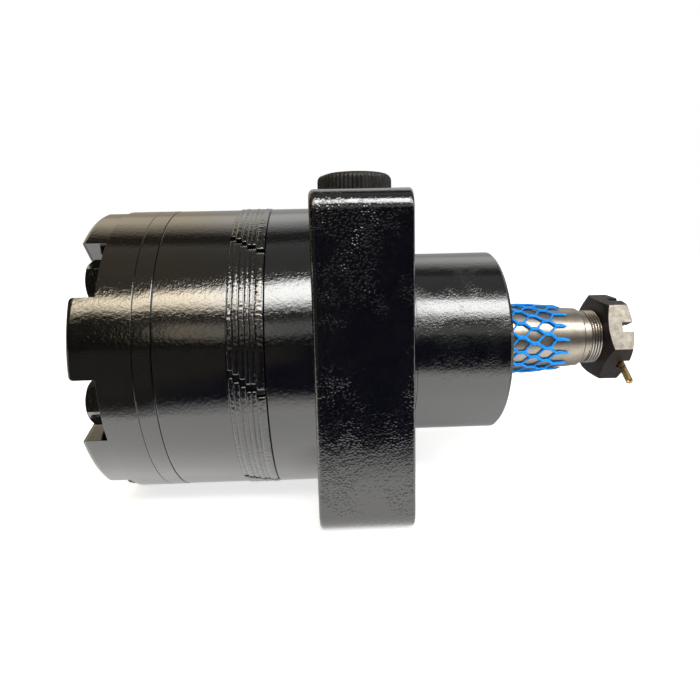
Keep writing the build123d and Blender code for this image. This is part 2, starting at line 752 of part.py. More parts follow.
def rotor_point(turn):
    """Point of the rotor's outline: the rollers' path on the rotor, moved in by a roller's radius."""
    path = Vector(
        roller_circle * math.cos(turn) - rotor_offset * math.cos(roller_count * turn),
        roller_circle * math.sin(turn) - rotor_offset * math.sin(roller_count * turn),
    )
    along = Vector(
        -roller_circle * math.sin(turn) + roller_count * rotor_offset * math.sin(roller_count * turn),
        roller_circle * math.cos(turn) - roller_count * rotor_offset * math.cos(roller_count * turn),
    ).normalized()
    return path - Vector(along.Y, -along.X) * (roller_radius + rotor_play)


points_per_lobe = 20
with BuildPart() as rotor:
    with BuildSketch(across(stator_rear + end_play, rotor_offset)):
        with BuildLine():
            outline_count = points_per_lobe * lobe_count
            outline = [rotor_point(2 * math.pi * index / outline_count) for index in range(outline_count)]
            Spline(*outline, periodic=True)
        make_face()
    extrude(amount=stator_front - stator_rear - 2 * end_play)
    rotor_spline = spline_section(across(stator_rear, rotor_offset), spline_tip, spline_root, spline_groove)
    extrude(rotor_spline, amount=stator_front - stator_rear, mode=Mode.SUBTRACT)
rotor.part.label = "rotor"
export_step(rotor.part, "parts/rotor.step")

# --- Balance plate, end cover and through bolts -------------------------------------------
with BuildPart() as balance_plate:
    round_block(stator_rear, cover_front, body_radius - 0.05)
    chamfer(balance_plate.edges().filter_by(GeomType.CIRCLE).group_by(SortBy.RADIUS)[-1], balance_edge)
    bolt_holes(stator_rear, cover_front, bolt_hole_radius)
    seal_groove(cover_front, cover_front + seal_depth)
    with BuildSketch(across(cover_front)):
        with PolarLocations(balance_hole_circle, bolt_count, start_angle=90):
            Circle(balance_hole_radius)
    extrude(amount=stator_rear - cover_front, mode=Mode.SUBTRACT)
balance_plate.part.label = "balance_plate"
export_step(balance_plate.part, "parts/balance_plate.step")

with BuildPart() as end_cover:
    round_block(cover_front, pocket_floor, body_radius - 0.05)
    chamfer(end_cover.faces().sort_by(Axis.X)[-1].outer_wire().edges(), cover_edge)
    round_block(pocket_floor + 1, cover_rear, body_radius - 0.05 - land_setback)
    with BuildSketch(across(cover_rear)):
        with PolarLocations(bolt_circle_radius, bolt_count, start_angle=90):
            Circle(pocket_inner_radius)
            Polygon(
                (0, -pocket_inner_radius),
                (pocket_reach, -pocket_rim_half_width),
                (pocket_reach, pocket_rim_half_width),
                (0, pocket_inner_radius),
                align=None,
            )
    extrude(amount=pocket_floor - cover_rear, mode=Mode.SUBTRACT)
    fillet(end_cover.faces().sort_by(Axis.X)[0].outer_wire().edges(), land_round)
    bolt_holes(cover_front, cover_rear, bolt_hole_radius)
    round_block(cover_front, cover_front - cover_recess_depth, cover_recess_radius, Mode.SUBTRACT)
    round_block(cover_rear, cover_rear + cover_dish_depth, cover_dish_radius, Mode.SUBTRACT)
end_cover.part.label = "end_cover"
export_step(end_cover.part, "parts/end_cover.step")

with BuildPart() as single_bolt:
    head_corner = bolt_head_flats / 2 / math.cos(math.pi / 6)
    with BuildSketch():
        RegularPolygon(head_corner, 6)
    extrude(amount=-bolt_head_height)
    with BuildSketch(Plane.XZ):
        with BuildLine():
            Polyline(
                (0, 0.5),
                (head_corner + 0.1, 0.5),
                (head_corner + 0.1, 0.8 - bolt_head_height),
                (bolt_head_flats / 2 - 0.2, -bolt_head_height),
                (0, -bolt_head_height),
                close=True,
            )
        make_face()
    revolve(axis=Axis.Z, mode=Mode.INTERSECT)
    with BuildSketch():
        Circle(bolt_radius)
    extrude(amount=bolt_tip - pocket_floor)
    chamfer(single_bolt.edges().filter_by(GeomType.CIRCLE).sort_by(Axis.Z)[-1], 1.0)

with BuildPart(across(pocket_floor)) as through_bolts:
    with PolarLocations(bolt_circle_radius, bolt_count, start_angle=90):
        add(single_bolt.part)
through_bolts.part.label = "through_bolts"
export_step(through_bolts.part, "parts/through_bolts.step")

with BuildPart() as body_seals:
    ring_block(housing_rear, housing_rear + seal_depth, seal_outer, seal_inner)
    ring_block(stator_front, stator_front - seal_depth, seal_outer, seal_inner)
    ring_block(stator_rear, stator_rear + seal_depth, seal_outer, seal_inner)
    ring_block(cover_front, cover_front + seal_depth, seal_outer, seal_inner)
body_seals.part.label = "body_seals"
export_step(body_seals.part, "parts/body_seals.step")

# --- Port plugs ---------------------------------------------------------------------------
for plug_name, side in (("near", -1), ("far", 1)):
    plug_place = (port_station, side * port_spread)
    with BuildPart() as port_plug:
        with BuildSketch(Plane.XY.offset(plug_head_bottom)):
            with Locations(plug_place):
                Circle(plug_head_radius)
        extrude(amount=plug_top - plug_head_bottom)
        fillet(port_plug.edges().filter_by(GeomType.CIRCLE).group_by(Axis.Z)[-1], plug_top_round)
        chamfer(port_plug.edges().filter_by(GeomType.CIRCLE).group_by(Axis.Z)[0], plug_foot_chamfer)
        with BuildSketch(Plane.XY.offset(plug_top)):
            with Locations(plug_place):
                Circle(plug_head_radius - plug_rim_width)
        extrude(amount=-plug_dish, mode=Mode.SUBTRACT)
        with BuildSketch(Plane.XY.offset(plug_head_bottom)):
            with Locations(plug_place):
                Circle(plug_stem_radius)
        extrude(amount=-plug_stem_length)
        chamfer(port_plug.edges().filter_by(GeomType.CIRCLE).group_by(Axis.Z)[0], 1.0)
    port_plug.part.label = f"port_plug_{plug_name}"
    export_step(port_plug.part, f"parts/port_plug_{plug_name}.step")

    with BuildPart() as port_seal:
        with BuildSketch(Plane.XY.offset(plug_head_bottom)):
            with Locations(plug_place):
                Circle(plug_stem_radius + plug_seal_width)
                Circle(plug_stem_radius, mode=Mode.SUBTRACT)
        extrude(amount=-plug_seal_thickness)
    port_seal.part.label = f"port_seal_{plug_name}"
    export_step(port_seal.part, f"parts/port_seal_{plug_name}.step")
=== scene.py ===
import json
import math
import random

import bmesh
import bpy
from mathutils import Matrix, Vector, noise


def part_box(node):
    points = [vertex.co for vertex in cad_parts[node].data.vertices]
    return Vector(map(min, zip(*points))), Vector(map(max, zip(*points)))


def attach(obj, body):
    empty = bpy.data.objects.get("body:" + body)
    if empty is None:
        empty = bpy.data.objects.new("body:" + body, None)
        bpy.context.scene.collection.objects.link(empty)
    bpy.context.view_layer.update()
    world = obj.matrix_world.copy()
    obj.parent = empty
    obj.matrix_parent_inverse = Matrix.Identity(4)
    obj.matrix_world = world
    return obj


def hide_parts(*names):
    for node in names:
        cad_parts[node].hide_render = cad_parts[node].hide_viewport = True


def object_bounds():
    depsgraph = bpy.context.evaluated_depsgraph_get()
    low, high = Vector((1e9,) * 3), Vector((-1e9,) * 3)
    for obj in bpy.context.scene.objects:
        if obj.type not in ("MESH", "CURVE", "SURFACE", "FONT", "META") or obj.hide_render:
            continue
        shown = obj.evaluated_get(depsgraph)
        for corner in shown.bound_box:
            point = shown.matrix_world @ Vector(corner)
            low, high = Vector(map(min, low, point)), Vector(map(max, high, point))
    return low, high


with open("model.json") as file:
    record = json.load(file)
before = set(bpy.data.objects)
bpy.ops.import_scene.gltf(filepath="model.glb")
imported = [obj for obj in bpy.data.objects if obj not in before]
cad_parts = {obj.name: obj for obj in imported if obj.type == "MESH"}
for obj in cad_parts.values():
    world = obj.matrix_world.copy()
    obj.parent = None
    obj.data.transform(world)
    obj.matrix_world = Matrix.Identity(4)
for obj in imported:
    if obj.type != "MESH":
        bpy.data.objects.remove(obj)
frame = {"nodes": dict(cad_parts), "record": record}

# Orbital hydraulic motor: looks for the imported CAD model. Metres, +X towards the shaft end, +Z up.
# The CAD nodes keep their shapes and get materials. The pieces that CAD leaves plain are built here:
# the shaft's netting, its screw thread, the knurled port plugs and the plates' rough painted edges.

CAD_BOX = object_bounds()
MM = 0.001


# --- Node helpers ---------------------------------------------------------------------------
class Nodes:
    """Short ways to add nodes to a node tree, reading one coordinate output."""

    def __init__(self, tree, coordinate):
        self.tree = tree
        self.place = self.node("ShaderNodeTexCoord").outputs[coordinate]

    def node(self, kind, **settings):
        made = self.tree.nodes.new(kind)
        for key, value in settings.items():
            setattr(made, key, value)
        return made

    def link(self, source, target):
        self.tree.links.new(source, target)

    def stretched(self, scale):
        mapping = self.node("ShaderNodeMapping")
        mapping.inputs["Scale"].default_value = scale
        self.link(self.place, mapping.inputs["Vector"])
        return mapping.outputs["Vector"]

    def noise(self, size, detail=2.0, roughness=0.5, place=None):
        """Smooth noise whose features are about size metres across."""
        made = self.node("ShaderNodeTexNoise")
        made.inputs["Scale"].default_value = 1 / size
        made.inputs["Detail"].default_value = detail
        made.inputs["Roughness"].default_value = roughness
        self.link(place or self.place, made.inputs["Vector"])
        return made.outputs["Fac"]

    def cells(self, size):
        """Distance from the middle of the nearest of many scattered cells."""
        made = self.node("ShaderNodeTexVoronoi", feature="F1")
        made.inputs["Scale"].default_value = 1 / size
        self.link(self.place, made.inputs["Vector"])
        return made.outputs["Distance"]

    def math(self, operation, first, second=None):
        made = self.node("ShaderNodeMath", operation=operation)
        for socket, value in zip(made.inputs, (first, second)):
            if value is None:
                continue
            if isinstance(value, (int, float)):
                socket.default_value = value
            else:
                self.link(value, socket)
        return made.outputs[0]

    def fit(self, value, low, high, to_low=0.0, to_high=1.0, smooth=True):
        made = self.node("ShaderNodeMapRange")
        made.interpolation_type = "SMOOTHSTEP" if smooth else "LINEAR"
        for key, number in (("From Min", low), ("From Max", high), ("To Min", to_low), ("To Max", to_high)):
            made.inputs[key].default_value = number
        self.link(value, made.inputs["Value"])
        return made.outputs["Result"]

    def ramp(self, value, stops):
        made = self.node("ShaderNodeValToRGB")
        elements = made.color_ramp.elements
        while len(elements) < len(stops):
            elements.new(0.5)
        for element, (position, colour) in zip(elements, stops):
            element.position = position
            element.color = (*colour, 1)
        self.link(value, made.inputs["Fac"])
        return made.outputs["Color"]

    def mix(self, factor, first, second):
        made = self.node("ShaderNodeMix", data_type="RGBA")
        self.link(factor, made.inputs["Factor"])
        for socket, value in ((made.inputs[6], first), (made.inputs[7], second)):
            if isinstance(value, tuple):
                socket.default_value = (*value, 1)
            else:
                self.link(value, socket)
        return made.outputs[2]

    def axis(self, name):
        made = self.node("ShaderNodeSeparateXYZ")
        self.link(self.place, made.inputs["Vector"])
        return made.outputs[name]


class Finish(Nodes):
    """A material in the making, with its Principled shader."""

    def __init__(self, name, base, roughness, metallic=0.0, specular=0.5):
        self.material = bpy.data.materials.new(name)
        self.material.use_nodes = True
        super().__init__(self.material.node_tree, "Object")
        self.shader = self.tree.nodes["Principled BSDF"]
        self.shader.inputs["Base Color"].default_value = (*base, 1)
        self.set("Roughness", roughness)
        self.set("Metallic", metallic)
        self.set("Specular IOR Level", specular)
        self.normal = None

    def set(self, socket, value):
        self.shader.inputs[socket].default_value = value

    def feed(self, socket, source):
        self.link(source, self.shader.inputs[socket])

    def bump(self, height, distance, strength=1.0):
        made = self.node("ShaderNodeBump")
        made.inputs["Distance"].default_value = distance
        made.inputs["Strength"].default_value = strength
        self.link(height, made.inputs["Height"])
        if self.normal is not None:
            self.link(self.normal, made.inputs["Normal"])
        self.normal = made.outputs["Normal"]
        self.feed("Normal", self.normal)


# --- Materials --------------------------------------------------------------------------------
PEEL_SIZE = 1.3 * MM
PEEL_DEPTH = 0.1 * MM
GRAIN_SIZE = 0.95 * MM         # the casting's pebbles
GRAIN_DEPTH = 0.17 * MM
PILOT_SCAB_DEPTH = 0.2 * MM
FLANGE_REAR = -37 * MM
FLANGE_FRONT = 0.0
FLANGE_ROUNDING = 62 * MM      # height above which the flange's top edge curves over
THREAD_ROOT = 11.86 * MM
THREAD_CREST = 12.66 * MM
RUBBED_FLAT = 21               # degrees above -Y, where the paler flat of the nut faces


def enamel_base(name):
    """Thick glossy black paint with faint dust in it and an orange-peel skin."""
    look = Finish(name, (0.001, 0.001, 0.001), 0.1, specular=0.9)
    look.set("Coat Weight", 1.0)
    look.set("Coat Roughness", 0.03)
    dust = look.noise(9 * MM, 5.0, 0.65)
    shades = [(0.35, (0.0006, 0.0006, 0.0008)), (0.75, (0.0022, 0.002, 0.002))]
    look.feed("Base Color", look.ramp(dust, shades))
    look.feed("Roughness", look.fit(look.noise(6 * MM, 4.0), 0.3, 0.7, 0.07, 0.13))
    return look


def black_enamel():
    look = enamel_base("black_enamel")
    look.bump(look.noise(PEEL_SIZE, 2.0, 0.6), PEEL_DEPTH)
    return look.material


def plate_enamel():
    """Paint over the plates' sheared edges, finely lumpy."""
    look = enamel_base("plate_enamel")
    look.bump(look.noise(0.9 * MM, 3.0, 0.65), 0.09 * MM)
    return look.material


def casting_enamel():
    """The housing's paint: pebbly over the cast flange, smoother behind it, dull on the pilot."""
    look = enamel_base("casting_enamel")
    along = look.axis("X")
    past_rear = look.fit(along, FLANGE_REAR - 0.6 * MM, FLANGE_REAR + 0.4 * MM)
    before_front = look.fit(along, FLANGE_FRONT + 0.2 * MM, FLANGE_FRONT - 0.4 * MM)
    on_flange = look.math("MULTIPLY", past_rear, before_front)
    on_pilot = look.fit(along, 0.5 * MM, 3 * MM)
    look.bump(look.noise(PEEL_SIZE, 2.0, 0.6), PEEL_DEPTH)
    grain = look.fit(look.cells(GRAIN_SIZE), 0.0, 0.7, 1.0, 0.0)
    lumps = look.noise(2.2 * MM, 2.0, 0.5)
    patchy = look.fit(look.noise(14 * MM, 2.0), 0.4, 0.68, 0.2, 1.0)
    below_rounding = look.fit(look.axis("Z"), FLANGE_ROUNDING, FLANGE_ROUNDING - 8 * MM, 0.5, 1.0)
    strength = look.math("MULTIPLY", look.math("MULTIPLY", patchy, on_flange), below_rounding)
    look.bump(look.math("MULTIPLY", look.math("ADD", grain, lumps), strength), GRAIN_DEPTH)
    # the pilot's paint is duller and grainy, worse in patches
    patch = look.fit(look.noise(16 * MM, 3.0, 0.6), 0.5, 0.65, 0.4, 1.0)
    scab = look.math("MULTIPLY", look.noise(0.8 * MM, 3.0, 0.6), look.math("MULTIPLY", patch, on_pilot))
    look.bump(scab, PILOT_SCAB_DEPTH)
    look.feed("Coat Roughness", look.math("ADD", look.math("MULTIPLY", on_pilot, 0.07), 0.03))
    return look.material


def turned_steel(name, base, roughness, rings=0.02, stain_and_shade_darkening=0.25):
    """Bright turned or ground steel with fine rings across its axis and faint oily patches."""
    look = Finish(name, base, roughness, metallic=1.0)
    fine = look.noise(1.0 * MM, 3.0, 0.7, look.stretched((9.0, 0.4, 0.4)))
    coarse = look.noise(7 * MM, 4.0, 0.6)
    darker = tuple(channel * (1 - stain_and_shade_darkening) for channel in base)
    look.feed("Base Color", look.mix(look.fit(coarse, 0.35, 0.7), base, darker))
    look.feed("Roughness", look.fit(fine, 0.25, 0.75, roughness * 0.75, roughness * 1.35))
    look.bump(fine, rings * MM, 0.6)
    return look.material


def thread_steel():
    """The shaft's steel with painted shade darkening the bottoms of the thread."""
    look = Finish("thread_steel", (0.5, 0.47, 0.43), 0.3, metallic=1.0)
    across_y, across_z = look.axis("Y"), look.axis("Z")
    square_y = look.math("MULTIPLY", across_y, across_y)
    square_z = look.math("MULTIPLY", across_z, across_z)
    reach = look.math("SQRT", look.math("ADD", square_y, square_z))
    stain_and_shade_darkening = look.math("ADD", reach, look.math("MULTIPLY", look.noise(2 * MM, 3.0), 0.2 * MM))
    # painted shade: the colour turns dark brown near the thread's root radius and stays pale on the crests,
    # so the thread's bottoms look shaded; the roots are rougher too
    crest_unshaded = look.fit(stain_and_shade_darkening, THREAD_ROOT + 0.15 * MM, THREAD_CREST - 0.1 * MM)
    look.feed("Base Color", look.mix(crest_unshaded, (0.05, 0.04, 0.034), (0.56, 0.52, 0.47)))
    look.feed("Roughness", look.fit(crest_unshaded, 0, 1, 0.5, 0.26))
    look.bump(look.noise(0.6 * MM, 3.0), 0.02 * MM, 0.6)
    return look.material


def black_oxide():
    """Oxide-blackened steel; the flat that took the spanner is rubbed paler."""
    look = Finish("nut_black_oxide", (0.02, 0.016, 0.014), 0.36, metallic=0.0, specular=0.22)
    patch = look.noise(5 * MM, 5.0, 0.65)
    dark = look.ramp(patch, [(0.3, (0.007, 0.005, 0.0045)), (0.75, (0.024, 0.017, 0.014))])
    scuff = look.noise(3 * MM, 5.0, 0.65)
    pale = look.ramp(scuff, [(0.3, (0.19, 0.172, 0.145)), (0.75, (0.46, 0.42, 0.36))])
    turn = math.radians(RUBBED_FLAT)
    facing = look.node("ShaderNodeVectorMath", operation="DOT_PRODUCT")
    look.link(look.node("ShaderNodeTexCoord").outputs["Normal"], facing.inputs[0])
    facing.inputs[1].default_value = (0, -math.cos(turn), math.sin(turn))
    rubbed = look.fit(facing.outputs["Value"], 0.955, 0.985)
    worn = look.math("MULTIPLY", rubbed, look.fit(look.noise(7 * MM, 4.0, 0.6), 0.15, 0.4, 0.75, 1.0))
    look.feed("Base Color", look.mix(worn, dark, pale))
    look.feed("Metallic", look.math("MULTIPLY", worn, 0.85))
    look.feed("Roughness", look.fit(look.noise(1.4 * MM, 4.0), 0.3, 0.7, 0.3, 0.5))
    look.bump(look.noise(0.6 * MM, 4.0, 0.6), 0.04 * MM, 0.8)
    return look.material


def brass():
    look = Finish("pin_brass", (0.80, 0.56, 0.26), 0.28, metallic=1.0)
    patch = look.noise(2.5 * MM, 4.0, 0.6)
    look.feed("Base Color", look.ramp(patch, [(0.3, (0.66, 0.42, 0.17)), (0.7, (0.92, 0.70, 0.38))]))
    look.feed("Roughness", look.fit(look.noise(1.1 * MM, 3.0), 0.3, 0.7, 0.2, 0.38))
    look.bump(look.noise(0.5 * MM, 3.0), 0.02 * MM, 0.6)
    return look.material


def blue_plastic():
    """Extruded polyethylene netting: waxy, a little see-through, with fine draw lines."""
    look = Finish("net_blue", (0.0, 0.26, 0.86), 0.4, specular=0.25)
    streak = look.noise(0.9 * MM, 3.0, 0.6)
    look.feed("Base Color", look.ramp(streak, [(0.3, (0.0, 0.21, 0.74)), (0.7, (0.0, 0.33, 0.95))]))
    look.set("Subsurface Weight", 0.12)
    look.set("Subsurface Radius", (0.2, 0.5, 1.0))
    look.set("Subsurface Scale", 0.6 * MM)
    look.feed("Roughness", look.fit(look.noise(1.6 * MM, 3.0), 0.3, 0.7, 0.3, 0.48))
    look.bump(look.noise(0.35 * MM, 3.0), 0.03 * MM, 0.5)
    return look.material


def plug_plastic():
    look = Finish("plug_plastic", (0.012, 0.008, 0.007), 0.36, specular=0.5)
    dust = look.noise(4 * MM, 5.0, 0.7)
    look.feed("Base Color", look.ramp(dust, [(0.35, (0.006, 0.004, 0.004)), (0.8, (0.022, 0.016, 0.013))]))
    look.feed("Roughness", look.fit(look.noise(2 * MM, 4.0), 0.3, 0.7, 0.34, 0.58))
    look.bump(look.noise(0.5 * MM, 4.0, 0.6), 0.03 * MM, 0.7)
    return look.material


def rubber():
    look = Finish("seal_rubber", (0.02, 0.02, 0.021), 0.6)
    dust = look.noise(3 * MM, 4.0)
    look.feed("Base Color", look.ramp(dust, [(0.3, (0.014, 0.014, 0.015)), (0.75, (0.035, 0.034, 0.033))]))
    look.bump(look.noise(0.4 * MM, 3.0), 0.02 * MM, 0.6)
    return look.material


FINISHES = {
    "black_enamel": black_enamel(),
    "shaft_steel": turned_steel("shaft_steel", (0.44, 0.39, 0.325), 0.34, 0.03),
    "nut_black_oxide": black_oxide(),
    "pin_brass": brass(),
    "net_blue": blue_plastic(),
    "plug_plastic": plug_plastic(),
    "seal_rubber": rubber(),
    "bearing_steel": turned_steel("bearing_steel", (0.62, 0.61, 0.60), 0.16, 0.01, 0.1),
    "cage_steel": turned_steel("cage_steel", (0.42, 0.40, 0.37), 0.34, 0.02, 0.3),
    "hardened_steel": turned_steel("hardened_steel", (0.50, 0.49, 0.48), 0.24, 0.015, 0.2),
    "spring_steel": turned_steel("spring_steel", (0.18, 0.17, 0.17), 0.32, 0.02, 0.3),
    "key_steel": turned_steel("key_steel", (0.46, 0.44, 0.42), 0.35, 0.02, 0.2),
}
HOUSING_FINISH = casting_enamel()
PLATE_FINISH = plate_enamel()
THREAD_FINISH = thread_steel()

for subpart in frame["record"]["subparts"]:
    node = frame["nodes"][subpart["node"]]
    finish = HOUSING_FINISH if subpart["node"] == "housing" else FINISHES[subpart["material_slot"]]
    for material_slot in node.material_slots:
        material_slot.material = finish


# --- Mesh helpers -------------------------------------------------------------------------------
def mesh_piece(name, points, faces, finish, body, slot):
    mesh = bpy.data.meshes.new(name)
    mesh.from_pydata(points, [], faces)
    mesh.update()
    for polygon in mesh.polygons:
        polygon.use_smooth = True
    mesh.materials.append(finish)
    piece = bpy.data.objects.new(name, mesh)
    bpy.context.scene.collection.objects.link(piece)
    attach(piece, body)
    return piece


def tube(path, widths, outward, sides=10):
    """Points and faces of a closed tube along path. widths gives (across, outward) radii at each
    point, and outward gives the direction that the second one is measured in."""
    points, faces = [], []
    count = len(path)
    for index, centre in enumerate(path):
        ahead = path[min(index + 1, count - 1)] - path[max(index - 1, 0)]
        ahead.normalize()
        up = (outward[index] - ahead * outward[index].dot(ahead)).normalized()
        side = ahead.cross(up)
        wide, high = widths[index]
        for step in range(sides):
            turn = 2 * math.pi * step / sides
            points.append(centre + side * (wide * math.cos(turn)) + up * (high * math.sin(turn)))
    for ring in range(count - 1):
        for step in range(sides):
            here, there = ring * sides + step, ring * sides + (step + 1) % sides
            faces.append((here, there, there + sides, here + sides))
    faces.append(tuple(reversed(range(sides))))
    faces.append(tuple((count - 1) * sides + step for step in range(sides)))
    return points, faces


def add(total, part):
    """Appends one (points, faces) pair to another."""
    offset = len(total[0])
    total[0].extend(part[0])
    total[1].extend(tuple(corner + offset for corner in face) for face in part[1])


def around(station, radius, angle):
    """A point at a distance from the motor axis; the angle runs from -Y towards +Z, in degrees."""
    turn = math.radians(angle)
    return Vector((station, -radius * math.cos(turn), radius * math.sin(turn)))


def step_between(value, low, high):
    share = min(max((value - low) / (high - low), 0.0), 1.0)
    return share * share * (3 - 2 * share)


# --- Shaft netting ------------------------------------------------------------------------------
SHAFT_RADIUS = 15.875 * MM
TAPER_START = 53 * MM
TAPER_SLOPE = 1 / 16
KEY_TOP = 18.9 * MM
KEY_HALF_WIDTH = 3.97 * MM
KEY_FRONT = 55.4 * MM

NET_CELLS = 15                 # round the shaft
NET_START = 46.4 * MM
NET_COLUMNS = [49.9 * MM, 55.9 * MM, 61.9 * MM, 68.2 * MM, 73.7 * MM]   # where strands join
NET_PHASE = 9.3                # degrees, one join of the second column
NET_TWIST = 2.45               # degrees of drift from one column to the next
JOIN_HALF_LENGTH = 1.3 * MM
# each family of strands: half its width, and how far its middle is above the shaft
THICK_STRAND = 0.68 * MM
THICK_LIFT = 0.80 * MM
THIN_STRAND = 0.44 * MM
THIN_LIFT = 0.60 * MM
NET_SEED = 7


def shaft_skin(station):
    return SHAFT_RADIUS - max(station - TAPER_START, 0) * TAPER_SLOPE


def net_floor(station, angle):
    """How far out the net's underside lies: on the shaft, or stretched over the key on the +Y side."""
    skin = shaft_skin(station)
    raised = skin + (KEY_TOP - skin) * step_between(station, KEY_FRONT - 6 * MM, KEY_FRONT)
    if raised - skin < 0.05 * MM:
        return skin
    off_key = abs(angle % 360 - 180)
    corner = math.degrees(math.atan2(KEY_HALF_WIDTH, raised))
    reach = math.hypot(KEY_HALF_WIDTH, raised)
    tangent = corner + math.degrees(math.acos(skin / reach))
    if off_key < corner:
        return raised / math.cos(math.radians(off_key))
    if off_key < tangent:
        return skin / math.cos(math.radians(tangent - off_key))
    return skin


def strand_angle(column, lane, family):
    """Angle of a strand at a column. The thick family steps down by half a cell, the thin one up."""
    cell = 360 / NET_CELLS
    steps = -0.5 if family == "thick" else 0.5
    return NET_PHASE + NET_TWIST * (column - 1) + cell * (lane + steps * (column - 1))


def strand_path(lane, family, tail):
    """Stations and angles of one strand, nearly straight between joins and along the axis at them."""
    knots = []
    columns = len(NET_COLUMNS)
    first = strand_angle(-0.35, lane, family)
    knots.append((NET_START, first))
    for column in range(columns):
        angle = strand_angle(column, lane, family)
        wander = 0.7 * noise.noise(Vector((column * 3.1, lane * 1.7, 2.0)))
        place = NET_COLUMNS[column] + 0.35 * MM * noise.noise(Vector((column * 1.3, lane * 2.9, 7.0)))
        knots.append((place - JOIN_HALF_LENGTH, angle + wander))
        knots.append((place + JOIN_HALF_LENGTH, angle + wander + NET_TWIST * 0.2))
    last_place, last_angle = knots[-1]
    knots.append((last_place + tail[0], last_angle + tail[1]))
    return knots


def rounded(knots, spacing=0.45 * MM, passes=3):
    """Even steps along the knots with the corners eased."""
    even = []
    for (x0, a0), (x1, a1) in zip(knots, knots[1:]):
        count = max(2, round(math.hypot(x1 - x0, (a1 - a0) * 0.28 * MM) / spacing))
        for step in range(count):
            share = step / count
            even.append((x0 + (x1 - x0) * share, a0 + (a1 - a0) * share))
    even.append(knots[-1])
    for _ in range(passes):
        eased = [even[0]]
        for before, here, after in zip(even, even[1:], even[2:]):
            eased.append(tuple((b + 2 * h + a) / 4 for b, h, a in zip(before, here, after)))
        eased.append(even[-1])
        even = eased
    return even


def shaft_net():
    """Two families of strands, crossing and joined at the columns, with loose cut ends."""
    net = ([], [])
    draw = random.Random(NET_SEED)
    for family, size, lift in (("thin", THIN_STRAND, THIN_LIFT), ("thick", THICK_STRAND, THICK_LIFT)):
        for lane in range(NET_CELLS):
            if family == "thick":
                tail = ((2.0 + 2.2 * draw.random()) * MM, draw.uniform(-3.0, 1.0))
            else:
                tail = ((0.6 + 2.6 * draw.random()) * MM, draw.uniform(-1.0, 4.5))
            steps = rounded(strand_path(lane, family, tail))
            path, widths, outward = [], [], []
            for index, (station, angle) in enumerate(steps):
                near = min(abs(station - column) for column in NET_COLUMNS)
                joined = 1 - step_between(near, 0.8 * MM, 2.2 * MM)
                end_taper = 0.55 + 0.45 * step_between(len(steps) - 1 - index, 0, 3)
                wide = size * (1 + 0.3 * joined) * end_taper
                wide *= 1 + 0.12 * noise.noise(Vector((station * 400, lane * 3.3, 1.0)))
                high = size * (0.82 + 0.08 * joined) * end_taper
                radius = net_floor(station, angle) + lift * (1 - 0.1 * joined)
                path.append(around(station, radius, angle))
                outward.append(around(0, 1, angle))
                widths.append((wide, high))
            add(net, tube(path, widths, outward))
    piece = mesh_piece("shaft_net", *net, FINISHES["net_blue"], "shaft", "net_blue")
    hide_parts("net_sleeve")
    return piece


# --- Shaft thread -------------------------------------------------------------------------------
THREAD_PITCH = 1.27 * MM
THREAD_START = 89.75 * MM
THREAD_END = 104.9 * MM
THREAD_STEPS = 72              # round one turn
# one turn's ridge: place along the pitch, and share of the thread's depth
THREAD_PROFILE = ((-0.5, 0.0), (-0.12, 0.92), (0.0, 1.0), (0.12, 0.92), (0.5, 0.0))


def shaft_thread():
    """A helical ridge with a rounded crest, wound on the thread's root cylinder."""
    turns = (THREAD_END - THREAD_START) / THREAD_PITCH
    count = int(THREAD_STEPS * turns)
    run_out = THREAD_STEPS * 0.5
    rows = len(THREAD_PROFILE)
    points, faces = [], []
    for step in range(count + 1):
        angle = -360 * step / THREAD_STEPS
        centre = THREAD_START + THREAD_PITCH * step / THREAD_STEPS
        fade = step_between(step, 0, run_out) * step_between(count - step, 0, run_out)
        depth = (THREAD_CREST - THREAD_ROOT) * max(fade, 0.02)
        for along, height in THREAD_PROFILE:
            points.append(around(centre + along * THREAD_PITCH, THREAD_ROOT + depth * height, angle))
        if step:
            base = (step - 1) * rows
            for edge in range(rows - 1):
                low, high = base + edge, base + edge + rows
                faces.append((low, low + 1, high + 1, high))
    return mesh_piece("shaft_thread", points, faces, THREAD_FINISH, "shaft", "shaft_steel")


# --- Rounded edges ------------------------------------------------------------------------------
PAINTED_EDGE = 0.25 * MM
NUT_EDGE = 0.35 * MM
SHARP_EDGE = 32                # degrees between faces; anything sharper is rounded
ROUNDED_NODES = {
    "housing": PAINTED_EDGE,
    "stator_ring": PAINTED_EDGE,
    "balance_plate": PAINTED_EDGE,
    "end_cover": PAINTED_EDGE,
    "through_bolts": PAINTED_EDGE,
    "shaft_nut": NUT_EDGE,
}


def rounded_edges(node, width):
    """Rounds a CAD piece's sharp edges for the picture, without touching its mesh."""
    piece = frame["nodes"][node]
    weld = piece.modifiers.new("weld", "WELD")
    weld.merge_threshold = 0.002 * MM
    bevel = piece.modifiers.new("rounding", "BEVEL")
    bevel.width = width
    bevel.segments = 3
    bevel.limit_method = "ANGLE"
    bevel.angle_limit = math.radians(SHARP_EDGE)
    bevel.use_clamp_overlap = True
    normals = piece.modifiers.new("normals", "WEIGHTED_NORMAL")
    normals.mode = "FACE_AREA"
    normals.weight = 100


# --- Plate edges --------------------------------------------------------------------------------
NOTCH_LEADS = (5.2, 7.3, 7.3, 9.1, 10.8, 12.3)   # degrees ahead of each bolt, as on the CAD plates
BOLT_COUNT = 7
NOTCH_HALF_ANGLE = 1.2
RIM_PROUD = 0.24 * MM          # the thick paint stands out past the metal
END_PLATE_ROUGH = 0.14 * MM    # height of the paint's lumps
PLATE_ROUGH = 0.08 * MM
RIM_WAVER = 0.05 * MM          # sideways
RIM_END_DROP = 0.25 * MM       # where a rim stops at a notch
RIM_STEPS = 1080               # round the motor
# across the plate's edge: share of the thickness, and drop below the crown in millimetres
RIM_SECTION = ((0.0, 0.6), (0.03, 0.34), (0.09, 0.15), (0.2, 0.04), (0.38, 0.0), (0.62, 0.0), (0.8, 0.04),
               (0.91, 0.15), (0.97, 0.34), (1.0, 0.6))


